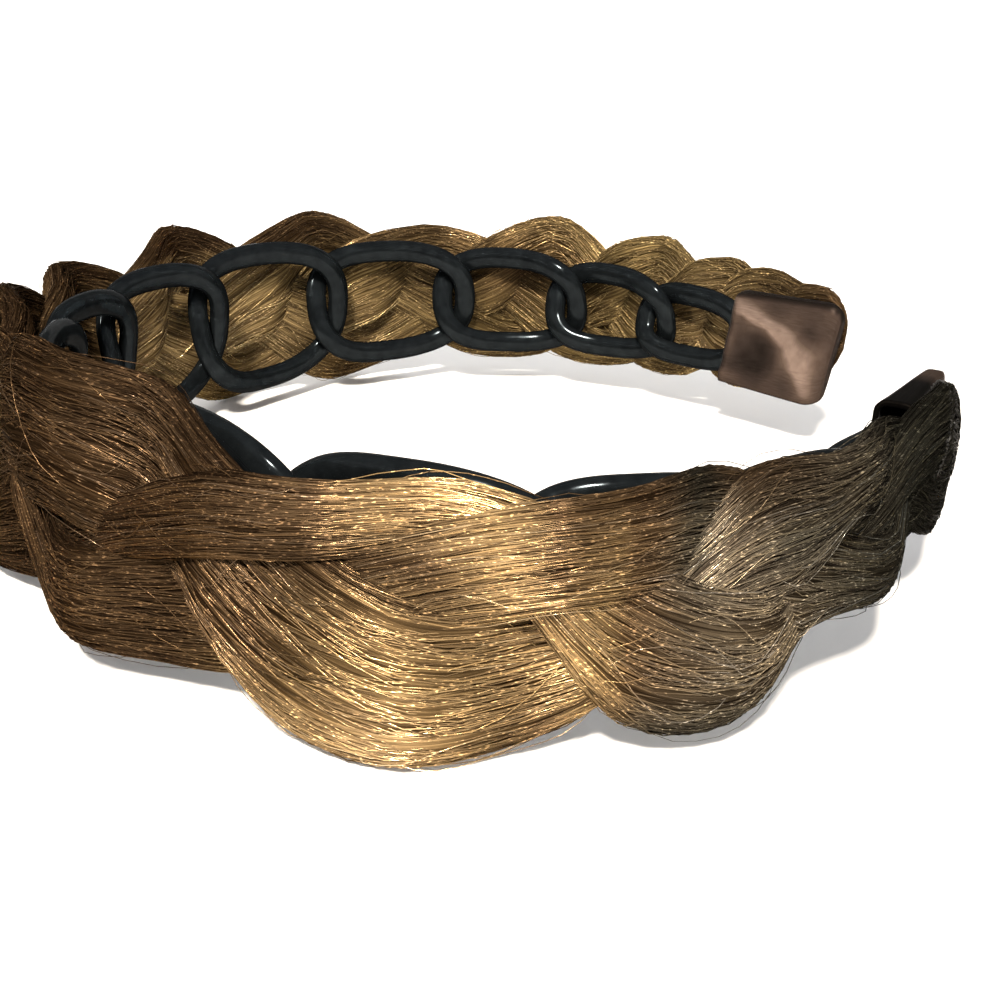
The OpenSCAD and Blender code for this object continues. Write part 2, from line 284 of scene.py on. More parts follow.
def link_surface(arm, number, t, q, swell=0.0):
    """Points of a link's bar: t runs round the oval, q round the bar. The swell widens the ends
    outward and the long sides inward."""
    start = LINKS[number - 1][0] - LINK_OVERLAP if number else FIRST_BAR
    end = LINKS[number][0] + LINK_OVERLAP
    half_run, half_rise = (end - start) / 2, (LINKS[number][1] - BAR_FACE) / 2
    flat_end = 1 if number else (1 - np.cos(t)) / 2
    other = LINK_SQUARENESS / (LINK_SQUARENESS - 1)
    face = np.stack((squared(np.cos(t), other) / half_run, squared(np.sin(t), other) / half_rise))
    face = face / np.linalg.norm(face, axis=0)
    wide = (BAR_FACE / 2 * np.cos(q) + swell * np.maximum(np.cos(q), 0) * np.cos(t) ** 2
            + swell * np.minimum(np.cos(q), 0) * np.sin(t) ** 2)
    along = (start + end) / 2 - half_run * squared(np.cos(t), LINK_SQUARENESS) - wide * face[0]
    out = LINK_TWIST * np.cos(t) * np.sin(t) * flat_end
    out = (out if arm == "near" else -out) + BAR_DEPTH / 2 * np.sin(q)
    up = half_rise * squared(np.sin(t), LINK_SQUARENESS) + wide * face[1]
    return on_plan(along if arm == "near" else BAND_LENGTH - along, out, up)


def origin_shift():
    """From the plan's origin to the part's, measured on one link against its CAD node."""
    t, q = np.meshgrid(np.linspace(0, 2 * np.pi, 200), np.linspace(0, 2 * np.pi, 60))
    points = link_surface("near", 3, t, q).reshape(-1, 3)
    low, high = (np.array(corner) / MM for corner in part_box("link_near_4"))
    return (low + high - points.min(0) - points.max(0)) / 2


SHIFT = origin_shift()


def on_band(at, out, up):
    """Band coordinates as a point of the part in metres, kept just clear of the floor."""
    points = on_plan(at, out, up) + SHIFT
    points[..., 2] = np.maximum(points[..., 2], FLOOR_CLEARANCE)
    return points * MM


def eased(rows, column, at, reach=TABLE_EASE):
    """A table's value along the band, with its corners eased."""
    return np.mean([np.interp(at + reach * d, rows[:, 0], rows[:, column]) for d in EASE], axis=0)


def from_tip(at):
    """Distance along the band from the nearer tip."""
    return np.minimum(at, BAND_LENGTH - at)


def smooth(share):
    """A step from 0 to 1 with eased ends."""
    share = np.clip(share, 0, 1)
    return share * share * (3 - 2 * share)


def lock_frame(lock, at):
    """Middle of a lock as outward and up, and its half thickness and half height."""
    phase = np.pi / 2 - 2 * np.pi * eased(TURNS[lock], 1, at) / TURN_LENGTH
    late = phase - SWING_LAG
    loose = smooth(from_tip(at) / TIP_REACH)
    swing = np.sin(2 * late) - SWING_LEAN * np.sin(4 * late)
    swing = swing * (TIP_SWING + (1 - TIP_SWING) * loose)
    width = LOCK_WIDTH - WIDTH_CHANGE * swing + TIP_WIDENING * (1 - loose)
    middle = (1 - width) * np.sin(phase)
    edges = EDGES[lock]
    share = (smooth((at - edges[0, 0]) / EDGE_BLEND + 0.5)
             * smooth((edges[-1, 0] - at) / EDGE_BLEND + 0.5))
    low, high = (rule + (eased(edges, column, at, EDGE_EASE) - rule) * share
                 for column, rule in ((1, middle - width), (2, middle + width)))
    half, lift, thick = (eased(BRAID, column, at) for column in (1, 2, 3))
    back = BRAID_GAP + np.interp(
        from_tip(at), (0, SATIN_LENGTH, SATIN_LENGTH + MOUTH_SLOPE),
        (SATIN_TIP_DEPTH / 2, SATIN_MOUTH_DEPTH / 2, LINK_BACK))
    nearness = np.clip((from_tip(at) + HAIR_OVERRUN) / LOCK_NOSE, 0, 1)
    close = np.sqrt(np.maximum(NOSE_BLUNTNESS, 1 - (1 - nearness) ** 2))
    return (back + thick / 2 + thick * SWING_SHARE * swing, lift + half * (low + high) / 2,
            thick * HALF_THICKNESS * close, half * (high - low) / 2 * close)


def lock_surface(lock, at, q, lift=0.0):
    """Points of a lock's skin, or of hairs lifted off it: q runs round the lock."""
    out, up, half_out, half_up = lock_frame(lock, at)
    return (out + (half_out + lift) * squared(np.cos(q), LOCK_SQUARENESS),
            up + (half_up + lift) * squared(np.sin(q), LOCK_SQUARENESS))


# Materials


def linear(code):
    """A hex sRGB colour as a linear one."""
    parts = [int(code[i:i + 2], 16) / 255 for i in (1, 3, 5)]
    return (*(c / 12.92 if c <= 0.04045 else ((c + 0.055) / 1.055) ** 2.4 for c in parts), 1)


def add(tree, kind, links=None, **settings):
    """Adds a node, sets its settings, and fills or links its inputs."""
    made = tree.nodes.new(kind)
    for name, value in settings.items():
        setattr(made, name, value)
    for socket, value in (links or {}).items():
        if isinstance(value, bpy.types.NodeSocket):
            tree.links.new(value, made.inputs[socket])
        else:
            made.inputs[socket].default_value = value
    return made


def set_ramp(ramp, stops):
    """Sets a ramp's stops: a place and a hex or linear colour each."""
    elements = ramp.color_ramp.elements
    while len(elements) < len(stops):
        elements.new(1)
    for element, (place, colour) in zip(elements, stops):
        element.position = place
        element.color = linear(colour) if isinstance(colour, str) else colour


def new_material(name):
    """A material with an empty node tree."""
    material = bpy.data.materials.new(name)
    material.use_nodes = True
    tree = material.node_tree
    tree.nodes.clear()
    return material, tree


def moulded_gloss_plastic(dark, light):
    """Injection moulded ABS, polished black: small sharp highlights on a nearly black body, with
    the faint waviness and rubbed spots of a moulded bar. A metallic share keeps the flat glare of
    a plain gloss coat off its steep sides."""
    material, tree = new_material("moulded_gloss_plastic")
    place = add(tree, "ShaderNodeTexCoord").outputs["Object"]
    # Sink waves of about 5 mm and rubbed patches of about 2 mm
    waves = add(tree, "ShaderNodeTexNoise", {"Vector": place, "Scale": 200.0, "Detail": 1.0})
    rubbed = add(tree, "ShaderNodeTexNoise", {"Vector": place, "Scale": 500.0, "Detail": 5.0})
    gloss = add(tree, "ShaderNodeMapRange", {
        "Value": rubbed.outputs["Fac"], "From Min": 0.35, "From Max": 0.75,
        "To Min": 0.1, "To Max": 0.24})
    tone = add(tree, "ShaderNodeValToRGB", {"Fac": rubbed.outputs["Fac"]})
    set_ramp(tone, ((0.3, dark), (0.75, light)))
    relief = add(tree, "ShaderNodeBump", {
        "Height": waves.outputs["Fac"], "Strength": 0.35, "Distance": 0.25 * MM})
    shader = add(tree, "ShaderNodeBsdfPrincipled", {
        "Base Color": tone.outputs["Color"], "Roughness": gloss.outputs["Result"],
        "Normal": relief.outputs["Normal"], "IOR": 1.54, "Metallic": 0.6,
        "Specular IOR Level": 0.0, "Specular Tint": linear("#3a3e42"), "Coat Weight": 0.04,
        "Coat Roughness": 0.12})
    add(tree, "ShaderNodeOutputMaterial", {"Surface": shader.outputs["BSDF"]})
    return material


# Share of the light that a clear fibre sends back from inside, tinted with its own colour. It is
# given as metal, and the plain reflection of the fibre's skin is left dark
INNER_GLOW = 0.55
FIBRE_SKIN = "#30261c"

# Colours of the dyed fibre, which the tone below also uses for painted highlight and painted shade
HAIR_COLOURS = {
    "soot": "#2d2e2b", "slate": "#4e4c46", "taupe": "#80776a", "umber": "#4a3c2e",
    "chestnut": "#6c5a46", "bronze": "#8e7a5c", "honey": "#a8926e", "gold": "#c6ac84",
    "pale gold": "#e2c8a0", "olive": "#a5936b", "straw": "#cfb98e"}
# Where each colour lies at four heights above the floor, as a share of a turn about the part's
# middle that passes the near arm at 0.25, the crown at 0.5 and the far arm at 0.75. The tone is
# the hair's own colour with painted light in it: the hair is nearly black at the near tip, partly
# painted shade; gold in the middle of the near arm, partly a painted highlight; brown at the crown,
# partly painted shade; and straw on the far arm, partly painted light on its inner face, where the
# crest is darker with painted shade. The rows by height paint highlight and shade on the lobes
HAIR_TONES_AND_PAINTED_LIGHT = (
    (4 * MM, (
        (0.136, "soot"), (0.165, "slate"), (0.222, "slate"), (0.232, "bronze"),
        (0.241, "chestnut"), (0.254, "bronze"), (0.266, "gold"), (0.275, "pale gold"),
        (0.289, "gold"), (0.305, "bronze"), (0.33, "umber"), (0.5, "umber"), (0.575, "bronze"),
        (0.605, "olive"), (0.72, "bronze"), (0.84, "olive"), (0.88, "olive"),
        (0.945, "chestnut"))),
    (12 * MM, (
        (0.136, "soot"), (0.165, "slate"), (0.19, "taupe"), (0.205, "taupe"),
        (0.226, "chestnut"), (0.233, "honey"), (0.24, "gold"), (0.252, "bronze"),
        (0.275, "honey"), (0.289, "bronze"), (0.305, "chestnut"), (0.33, "umber"),
        (0.5, "umber"), (0.575, "honey"), (0.605, "straw"), (0.68, "straw"), (0.76, "olive"),
        (0.84, "olive"), (0.88, "straw"), (0.945, "chestnut"))),
    (24 * MM, (
        (0.136, "soot"), (0.165, "slate"), (0.19, "slate"), (0.203, "taupe"), (0.213, "slate"),
        (0.226, "chestnut"), (0.231, "bronze"), (0.243, "chestnut"), (0.251, "gold"),
        (0.264, "chestnut"), (0.289, "umber"), (0.5, "umber"), (0.575, "bronze"),
        (0.605, "straw"), (0.7, "olive"), (0.79, "chestnut"), (0.84, "olive"),
        (0.88, "straw"), (0.945, "chestnut"))),
    (32 * MM, (
        (0.136, "soot"), (0.165, "slate"), (0.2, "umber"), (0.209, "soot"), (0.222, "umber"),
        (0.243, "umber"), (0.254, "honey"), (0.266, "gold"), (0.275, "gold"),
        (0.289, "chestnut"), (0.31, "umber"), (0.5, "umber"), (0.68, "chestnut"),
        (0.76, "bronze"), (0.84, "olive"), (0.88, "olive"), (0.945, "chestnut"))))


def hair_tone_and_painted_light(tree, place):
    """The hair's colour with its painted highlight and painted shade, from the direction of a point
    from the part's middle and its height.
    """
    axes = add(tree, "ShaderNodeSeparateXYZ", {"Vector": place})
    crown_way = add(tree, "ShaderNodeMath", {0: axes.outputs["X"], 1: -1.0}, operation="MULTIPLY")
    sweep = add(tree, "ShaderNodeMath", {0: axes.outputs["Y"], 1: crown_way.outputs["Value"]},
                operation="ARCTAN2")
    share = add(tree, "ShaderNodeMapRange", {
        "Value": sweep.outputs["Value"], "From Min": -math.pi, "From Max": math.pi})
    tone = below = None
    for height, stops in HAIR_TONES_AND_PAINTED_LIGHT:
        ramp = add(tree, "ShaderNodeValToRGB", {"Fac": share.outputs["Result"]})
        set_ramp(ramp, [(at, HAIR_COLOURS[name]) for at, name in stops])
        if tone is None:
            tone = ramp.outputs["Color"]
        else:
            rise = add(tree, "ShaderNodeMapRange", {
                "Value": axes.outputs["Z"], "From Min": below, "From Max": height})
            tone = add(tree, "ShaderNodeMix", {
                "Factor": rise.outputs["Result"], 6: tone, 7: ramp.outputs["Color"]},
                data_type="RGBA").outputs[2]
        below = height
    return tone


def brushed_hair():
    """Synthetic fibre hair brushed into a lock: fine streaks along the lock in lighter and darker
    browns, and highlights drawn out across the fibres."""
    material, tree = new_material("brushed_synthetic_hair")
    place = add(tree, "ShaderNodeTexCoord").outputs["Object"]
    along = add(tree, "ShaderNodeAttribute", attribute_name="strand").outputs["Vector"]
    # Fibres of 0.2 mm and clumps of 1.1 mm, both drawn out along the lock
    fibres = add(tree, "ShaderNodeTexNoise", {
        "Vector": add(tree, "ShaderNodeMapping", {
            "Vector": along, "Scale": (5.0, 5.0, 0.06)}).outputs["Vector"],
        "Scale": 1.0, "Detail": 2.0})
    clumps = add(tree, "ShaderNodeTexNoise", {
        "Vector": add(tree, "ShaderNodeMapping", {
            "Vector": along, "Scale": (0.9, 0.9, 0.03)}).outputs["Vector"],
        "Scale": 1.0, "Detail": 2.0})
    streak = add(tree, "ShaderNodeValToRGB", {"Fac": fibres.outputs["Fac"]})
    set_ramp(streak, ((0.3, "#5a544d"), (0.5, "#a09990"), (0.72, "#eee8dc")))
    bunch = add(tree, "ShaderNodeValToRGB", {"Fac": clumps.outputs["Fac"]})
    set_ramp(bunch, ((0.3, "#a6a19a"), (0.7, "#f6f3ec")))
    # The tone carries painted highlight and painted shade by place round the band
    toned = add(tree, "ShaderNodeMix", {
        "Factor": 1.0, 6: hair_tone_and_painted_light(tree, place), 7: streak.outputs["Color"]},
        data_type="RGBA", blend_type="MULTIPLY")
    toned = add(tree, "ShaderNodeMix", {
        "Factor": 1.0, 6: toned.outputs[2], 7: bunch.outputs["Color"]},
        data_type="RGBA", blend_type="MULTIPLY")
    height = add(tree, "ShaderNodeMath", {
        0: fibres.outputs["Fac"], 1: clumps.outputs["Fac"]}, operation="ADD")
    relief = add(tree, "ShaderNodeBump", {
        "Height": height.outputs["Value"], "Strength": 0.5, "Distance": 0.3 * MM})
    across = add(tree, "ShaderNodeTangent", direction_type="UV_MAP", uv_map="fibre")
    shader = add(tree, "ShaderNodeBsdfPrincipled", {
        "Base Color": toned.outputs[2], "Roughness": 0.4, "Anisotropic": 0.8,
        "Tangent": across.outputs["Tangent"], "Normal": relief.outputs["Normal"], "IOR": 1.55,
        "Metallic": INNER_GLOW, "Specular IOR Level": 0.0, "Specular Tint": linear(FIBRE_SKIN)})
    add(tree, "ShaderNodeOutputMaterial", {"Surface": shader.outputs["BSDF"]})
    return material


# Single fibres in five shades, picked partly by depth as painted shade: name, multiplier of the
# tone, roughness
FIBRE_SHADES = (
    ("dark", "#7c756f", 0.32), ("middle", "#b2aaa0", 0.28), ("light", "#dcd5c8", 0.24),
    ("gold", "#fff4de", 0.21), ("pale", "#ffffff", 0.18))
# How much brighter a painted glint on a fibre is
PAINTED_GLINT = 4.0


def fibre_shade(name, code, roughness):
    """One drawn synthetic fibre, smooth and slightly clear: a thin glint along it, painted glints
    as bright flecks, and a tone that drifts from end to end."""
    material, tree = new_material("synthetic_fibre_" + name)
    place = add(tree, "ShaderNodeTexCoord").outputs["Object"]
    # Shade changes of about 10 mm along a fibre
    drift = add(tree, "ShaderNodeTexNoise", {"Vector": place, "Scale": 100.0, "Detail": 1.0})
    shade = add(tree, "ShaderNodeMapRange", {
        "Value": drift.outputs["Fac"], "From Min": 0.3, "From Max": 0.7,
        "To Min": 0.75, "To Max": 1.25})
    # The tone carries painted highlight and painted shade by place round the band
    toned = add(tree, "ShaderNodeMix", {
        "Factor": 1.0, 6: hair_tone_and_painted_light(tree, place), 7: linear(code)},
        data_type="RGBA", blend_type="MULTIPLY")
    # Painted glints: bright flecks of 0.15 to 0.6 mm where a fibre would catch the light
    glint_spots = add(tree, "ShaderNodeTexNoise", {
        "Vector": add(tree, "ShaderNodeMapping", {
            "Vector": place, "Scale": (1700.0, 2300.0, 6500.0)}).outputs["Vector"],
        "Scale": 1.0, "Detail": 0.0})
    fleck = add(tree, "ShaderNodeMapRange", {
        "Value": glint_spots.outputs["Fac"], "From Min": 0.67, "From Max": 0.76,
        "To Min": 1.0, "To Max": PAINTED_GLINT})
    strength = add(tree, "ShaderNodeMath", {
        0: shade.outputs["Result"], 1: fleck.outputs["Result"]}, operation="MULTIPLY")
    body = add(tree, "ShaderNodeVectorMath", {
        0: toned.outputs[2], "Scale": strength.outputs["Value"]}, operation="SCALE")
    shader = add(tree, "ShaderNodeBsdfPrincipled", {
        "Base Color": body.outputs["Vector"], "Roughness": roughness, "IOR": 1.55,
        "Metallic": INNER_GLOW, "Specular IOR Level": 0.0, "Specular Tint": linear(FIBRE_SKIN)})
    add(tree, "ShaderNodeOutputMaterial", {"Surface": shader.outputs["BSDF"]})
    return material


def woven_satin(lit):
    """Polyester satin: long floats of thread that run one way and give a soft sheen drawn out
    across them, tinted with the cloth's own mauve brown, with painted shade in its hollows and a
    painted highlight on its raised folds."""
    material, tree = new_material("woven_polyester_satin")
    cloth = add(tree, "ShaderNodeUVMap", uv_map="cloth").outputs["UV"]
    # Threads of 0.12 mm are too fine to show, so they are drawn 0.3 mm apart; UVs are in mm
    threads = add(tree, "ShaderNodeTexWave", {
        "Vector": cloth, "Scale": 1.05, "Distortion": 0.6, "Detail": 2.0,
        "Detail Scale": 2.0}, bands_direction="X")
    picks = add(tree, "ShaderNodeTexNoise", {
        "Vector": add(tree, "ShaderNodeMapping", {
            "Vector": cloth, "Scale": (3.0, 0.5, 1.0)}).outputs["Vector"],
        "Scale": 1.0, "Detail": 3.0})
    # The fold attribute carries painted shade in hollows and painted highlight on raised folds
    fold = add(tree, "ShaderNodeAttribute", attribute_name="fold").outputs["Vector"]
    height = add(tree, "ShaderNodeSeparateXYZ", {"Vector": fold}).outputs["X"]
    painted_fold_light = add(tree, "ShaderNodeValToRGB", {"Fac": height})
    set_ramp(painted_fold_light, ((0.0, "#0b0a09"), (0.12, "#241f1c"), (0.4, "#362e2a"), (0.7, "#554840"),
                     (0.97, lit)))
    fleck = add(tree, "ShaderNodeValToRGB", {"Fac": picks.outputs["Fac"]})
    set_ramp(fleck, ((0.25, "#cfcac6"), (0.75, "#fbf8f5")))
    tone = add(tree, "ShaderNodeMix", {
        "Factor": 1.0, 6: painted_fold_light.outputs["Color"], 7: fleck.outputs["Color"]},
        data_type="RGBA", blend_type="MULTIPLY")
    height = add(tree, "ShaderNodeMath", {
        0: threads.outputs["Fac"], 1: picks.outputs["Fac"]}, operation="ADD")
    relief = add(tree, "ShaderNodeBump", {
        "Height": height.outputs["Value"], "Strength": 0.25, "Distance": 0.06 * MM})
    across = add(tree, "ShaderNodeTangent", direction_type="UV_MAP", uv_map="cloth")
    shader = add(tree, "ShaderNodeBsdfPrincipled", {
        "Base Color": tone.outputs[2], "Roughness": 0.33, "Anisotropic": 0.5,
        "Tangent": across.outputs["Tangent"], "Normal": relief.outputs["Normal"], "IOR": 1.5,
        "Specular IOR Level": 0.0, "Specular Tint": linear("#4a3d36"), "Metallic": 0.5,
        "Sheen Weight": 0.02, "Sheen Roughness": 0.4})
    add(tree, "ShaderNodeOutputMaterial", {"Surface": shader.outputs["BSDF"]})
    return material


# Shapes


def ring_torus(around, round_bar):
    """A torus of radius 1 with a thin bar, whose angles are then read off its points."""
    bm = bmesh.new()
    bar_radius = 0.3
    bmesh.ops.create_circle(bm, segments=round_bar, radius=bar_radius)
    bmesh.ops.rotate(bm, verts=bm.verts, matrix=Matrix.Rotation(math.pi / 2, 3, "X"))
    bmesh.ops.translate(bm, verts=bm.verts, vec=(1, 0, 0))
    bmesh.ops.spin(bm, geom=bm.verts[:] + bm.edges[:], cent=(0, 0, 0), axis=(0, 0, 1),
                   dvec=(0, 0, 0), angle=2 * math.pi, steps=around, use_merge=True,
                   use_duplicate=False)
    return bm


def straight_tube(around, steps):
    """A tube of radius 1 along +Z, one unit to a step, made by sweeping a circle."""
    bm = bmesh.new()
    bmesh.ops.create_circle(bm, segments=around, radius=1)
    bmesh.ops.spin(bm, geom=bm.verts[:] + bm.edges[:], cent=(0, 0, 0), axis=(0, 0, 1),
                   dvec=(0, 0, 1), angle=0, steps=steps, use_duplicate=False)
    return bm


def place_points(bm, points):
    """Moves a bmesh's points, in order, to new places."""
    for vert, point in zip(bm.verts, points):
        vert.co = point


def finish_piece(bm, name, material, replaced, uv_name=None, uv=None, strand=None,
                 fold=None):
    """Turns a bmesh into a piece that rides the part and stands for a CAD node."""
    bmesh.ops.recalc_face_normals(bm, faces=bm.faces)
    mesh = bpy.data.meshes.new(name)
    bm.to_mesh(mesh)
    bm.free()
    mesh.polygons.foreach_set("use_smooth", np.ones(len(mesh.polygons), bool))
    if uv is not None:
        corners = np.zeros(len(mesh.loops), int)
        mesh.loops.foreach_get("vertex_index", corners)
        values = uv[corners]
        # Faces that close the tube take the turn's end instead of its start
        starts = np.zeros(len(mesh.polygons), int)
        totals = np.zeros(len(mesh.polygons), int)
        mesh.polygons.foreach_get("loop_start", starts)
        mesh.polygons.foreach_get("loop_total", totals)
        turn = UV_TURN[uv_name]
        for start, total in zip(starts, totals):
            span = values[start:start + total, 0]
            if total == 4 and span.max() - span.min() > turn / 2:
                span[span < turn / 2] += turn
        layer = mesh.uv_layers.new(name=uv_name)
        layer.data.foreach_set("uv", values.ravel())
    if strand is not None:
        mesh.attributes.new("strand", "FLOAT_VECTOR", "POINT").data.foreach_set(
            "vector", strand.ravel())
    # The fold attribute carries the satin's painted shade and painted highlight
    if fold is not None:
        mesh.attributes.new("fold", "FLOAT_VECTOR", "POINT").data.foreach_set(
            "vector", np.repeat(fold, 3))
    mesh.materials.append(material)
    piece = bpy.data.objects.new(name, mesh)
    bpy.context.scene.collection.objects.link(piece)
    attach(piece, "root")
    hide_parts(replaced)
    return piece


def tube_angles(bm):
    """Step along a straight tube and angle round it, for each of its points."""
    co = np.array([vert.co for vert in bm.verts])
    return np.round(co[:, 2]).astype(int), np.mod(np.arctan2(co[:, 1], co[:, 0]), 2 * np.pi)


def satin_half(d):
    """Half thickness and half height of a wrap at a distance from the tip."""
    share = d / SATIN_LENGTH
    rounding = np.sqrt(np.maximum(0, 1 - np.maximum(0, 1 - d / SATIN_CORNER) ** 2))
    out = SATIN_TIP_DEPTH + (SATIN_MOUTH_DEPTH - SATIN_TIP_DEPTH) * share
    up = SATIN_TIP_HEIGHT + (SATIN_MOUTH_HEIGHT - SATIN_TIP_HEIGHT) * share
    return out / 2 * np.maximum(rounding, SATIN_EDGE), up / 2 - SATIN_CORNER_DROP * (1 - rounding)


def satin_relief(d, up, wrinkle):
    """Height of the wrap's soft folds, in millimetres: one long fold that runs from the mouth's
    top to the tip's bottom, a hollow under it, slack waves, and puckers and a hem at the mouth."""
    # How far from the tip the long fold lies at each height, and how wide and deep it is there
    path = np.interp(up, (-9, 0, 3, 5.5, 9), (2.5, 6.5, 10, 17, 22))
    fold = np.exp(-((d - path) / np.interp(up, (-9, 6), (2.0, 4.0))) ** 2)
    fold = fold * np.interp(up, (-9, 2), (0.55, 1))
    hollow = np.exp(-((d - 15) / 4.5) ** 2 - ((up + 3) / 4) ** 2)
    slack = np.sin(0.55 * d + 0.4 * up + 0.6) * np.sin(0.25 * d - 0.3 * up + 1.0)
    pucker = np.sin(1.7 * up + 0.8 * np.sin(0.7 * up)) * np.exp(-(SATIN_LENGTH - d) / 4)
    hem = np.exp(-((SATIN_LENGTH - 1.2 - d) / 0.7) ** 2)
    return wrinkle * (1.6 * fold - 1.1 * hollow + 0.25 * slack + 0.25 * pucker + 0.35 * hem)


def covered(lock, at, out, up):
    """Which points lie well inside another lock."""
    hidden = np.zeros(np.shape(out), bool)
    for other in LOCKS:
        if other != lock:
            middle_out, middle_up, half_out, half_up = lock_frame(other, at)
            away = ((out - middle_out) / half_out) ** 2 + ((up - middle_up) / half_up) ** 2
            hidden |= away < INSIDE
    return hidden


def fibre_paths(rng, lock, count, span, length, lift, sway, outer):
    """Paths of single hairs that follow a lock and dip into it at both ends."""
    t = np.linspace(0, 1, FIBRE_POINTS)[None]
    long = rng.uniform(*length, (count, 1))
    start = rng.uniform(span[0], span[1], (count, 1)) - long / 2
    at = np.clip(start + long * t, -HAIR_OVERRUN + FIBRE_MARGIN,
                 BAND_LENGTH + HAIR_OVERRUN - FIBRE_MARGIN)
    q = rng.uniform(0, 2 * np.pi, (count, 1))
    # More of the hairs lie on the outer face than behind it
    q = q - outer * np.sin(q)
    waves = rng.uniform(0.5, 1.6, (count, 1))
    turn = sway * (rng.normal(0, 1, (count, 1)) * (t - 0.5)
                   + WAVE_SHARE * np.sin(2 * np.pi * (waves * t + rng.uniform(0, 1, (count, 1)))))
    turn = turn + rng.normal(0, KINK_TURN, (count, FIBRE_POINTS))
    stands = rng.uniform(*lift, (count, 1))
    rise = (stands * np.sin(np.pi * t) ** 0.5 - END_DIP * (2 * t - 1) ** 8
            + rng.normal(0, KINK_RISE, (count, FIBRE_POINTS)))
    out, up = lock_surface(lock, at, q + turn, rise)
    keep = covered(lock, at, out, up).mean(1) < HIDDEN_SHARE
    return at[keep], out[keep], up[keep]


def lock_depth(at):
    """Outward distance of the middle of the braid's thickness."""
    return BRAID_GAP + LINK_BACK + eased(BRAID, 3, at) / 2


def fibre_shades(rng, paths, bias):
    """A shade for each hair, partly at random: painted shade makes it darker where it lies deep in
    the braid and lighter on its outside.
    """
    shades = []
    for at, out, up in paths:
        middle = lock_depth(at.mean(1))
        shades.append((out.mean(1) - middle) / eased(BRAID, 3, at.mean(1)))
    score = bias + PAINTED_SHADE_BY_DEPTH * np.concatenate(shades)
    score = score + rng.normal(0, 1, len(score))
    return np.clip(np.round(score), 0, len(FIBRE_SHADES) - 1).astype(int)


def fibre_piece(name, paths, thickness, shades, rng):
    """A piece of thin round fibres along paths, with pointed ends."""
    curve = bpy.data.curves.new(name, "CURVE")
    curve.dimensions = "3D"
    curve.bevel_depth = thickness / 2 * MM
    curve.bevel_resolution = 0
    curve.resolution_u = 1
    for material in shared_fibre_materials():
        curve.materials.append(material)
    points = np.concatenate([on_band(*path) for path in paths])
    slim = rng.uniform(0.7, 1.3, len(points))
    taper = np.ones(FIBRE_POINTS)
    taper[0] = taper[-1] = END_TAPER
    for row, shade, scale in zip(points, shades, slim):
        spline = curve.splines.new("POLY")
        spline.points.add(FIBRE_POINTS - 1)
        spline.points.foreach_set("co", np.c_[row, np.ones(FIBRE_POINTS)].ravel())
        spline.points.foreach_set("radius", taper * scale)
        spline.material_index = int(shade)
    piece = bpy.data.objects.new(name, curve)
    bpy.context.scene.collection.objects.link(piece)
    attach(piece, "root")
    return piece


fibre_materials = []


def shared_fibre_materials():
    """The five shades of fibre, made once for all pieces of single hairs."""
    if not fibre_materials:
        fibre_materials.extend(fibre_shade(*shade) for shade in FIBRE_SHADES)
    return fibre_materials


# Settings


class HeadbandSettings(bpy.types.PropertyGroup):
    """Sizes and colours of the headband that a user would change."""

    plastic_dark: bpy.props.FloatVectorProperty(
        name="Plastic, polished", description="Colour of the chain's plastic where it is polished",
        default=linear("#141719"), size=4, min=0, max=1, subtype="COLOR")
    plastic_light: bpy.props.FloatVectorProperty(
        name="Plastic, rubbed", description="Colour of the chain's plastic where it is rubbed",
        default=linear("#1f2325"), size=4, min=0, max=1, subtype="COLOR")
    # Painted highlight: the colour the satin is painted on the lit tops of its folds
    satin_lit_colour: bpy.props.FloatVectorProperty(
        name="Satin", description="Colour of the satin on top of its folds",
        default=linear("#85746a"), size=4, min=0, max=1, subtype="COLOR")
    paper_colour: bpy.props.FloatVectorProperty(
        name="Paper", description="Colour of the paper that the headband lies on",
        default=linear("#f6f5f3"), size=4, min=0, max=1, subtype="COLOR")
    key_colour: bpy.props.FloatVectorProperty(
        name="Key light colour", description="Colour of the key light",
        default=linear("#fff5e8"), size=4, min=0, max=1, subtype="COLOR")
    bar_points: bpy.props.IntProperty(
        name="Bar points", description="Points round a link's bar", default=14, min=8, max=24)
    link_points: bpy.props.IntProperty(
        name="Link points", description="Points round a link's oval", default=84, min=40, max=160)
    wrinkle: bpy.props.FloatProperty(
        name="Wrinkle", description="Depth of the satin's folds", default=0.6 * MM,
        min=0, max=MM, precision=5, unit="LENGTH")
    lock_stations: bpy.props.IntProperty(
        name="Lock stations", description="Sections along one lock", default=400, min=200, max=800)
    lock_points: bpy.props.IntProperty(
        name="Lock points", description="Points round one lock", default=56, min=24, max=96)
    clump_depth: bpy.props.FloatProperty(
        name="Clump depth", description="Depth of the grooves between clumps of hair",
        default=0.22 * MM, min=0, max=MM, precision=5, unit="LENGTH")
    fibre_thickness: bpy.props.FloatProperty(
        name="Fibre thickness", description="Thickness of a single hair, drawn thicker than real",
        default=0.15 * MM, min=0.05 * MM, max=0.4 * MM, precision=5, unit="LENGTH")
    near_fibres: bpy.props.IntProperty(
        name="Near fibres", description="Single hairs on each lock's near half", default=1950,
        min=0, max=2100)
    far_fibres: bpy.props.IntProperty(
        name="Far fibres", description="Single hairs on each lock's far half", default=1300,
        min=0, max=2100)
    stray_fibres: bpy.props.IntProperty(
        name="Stray fibres", description="Loose hairs that stand off the braid", default=510,
        min=0, max=900)
    key_power: bpy.props.FloatProperty(
        name="Key light", description="Power of the key light", default=26, min=0, max=100,
        unit="POWER")
    surround: bpy.props.FloatProperty(
        name="Surround", description="Strength of the light from all round", default=0.42, min=0,
        max=3)


